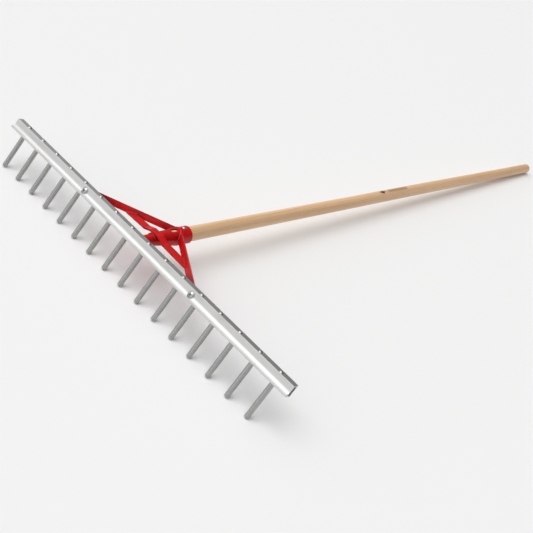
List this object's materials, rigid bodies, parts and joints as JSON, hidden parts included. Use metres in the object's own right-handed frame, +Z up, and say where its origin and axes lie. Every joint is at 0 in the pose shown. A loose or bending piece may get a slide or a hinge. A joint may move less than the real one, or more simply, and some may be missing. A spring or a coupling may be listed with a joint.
{
  "type": "bow rake",
  "caption": "Wide levelling rake: round tines through a hollow aluminium bar, a red braced steel bracket and a round wooden handle.",
  "frame": {"origin": "on the floor, at the middle of the box around the resting rake", "axes": "+X along the bar to the right, +Y from the tines towards the free end of the handle, +Z up; the rake stands on its tine tips and the end of its handle"},
  "size_m": [0.7692, 1.6756, 0.0842],
  "materials": {
    "bar_aluminium": "extruded aluminium, satin, fine lines lengthwise",
    "tine_steel": "bright drawn rod, satin",
    "red_paint": "red gloss powder coat over welded steel",
    "handle_wood": "turned ash, smooth, clear finish",
    "zinc_hardware": "bright zinc plate"
  },
  "bodies": {
    "root": {"head_bar": "bar_aluminium", "tine_01": "tine_steel", "tine_02": "tine_steel", "tine_03": "tine_steel", "tine_04": "tine_steel", "tine_05": "tine_steel", "tine_06": "tine_steel", "tine_07": "tine_steel", "tine_08": "tine_steel", "tine_09": "tine_steel", "tine_10": "tine_steel", "tine_11": "tine_steel", "tine_12": "tine_steel", "tine_13": "tine_steel", "tine_14": "tine_steel", "tine_15": "tine_steel", "tine_16": "tine_steel", "handle_socket": "red_paint", "brace_right": "red_paint", "brace_left": "red_paint", "saddle_strap": "red_paint", "bolt_left": "zinc_hardware", "washer_left": "zinc_hardware", "nut_left": "zinc_hardware", "bolt_right": "zinc_hardware", "washer_right": "zinc_hardware", "nut_right": "zinc_hardware", "socket_screw": "zinc_hardware", "handle": "handle_wood"}
  },
  "joints": []
}
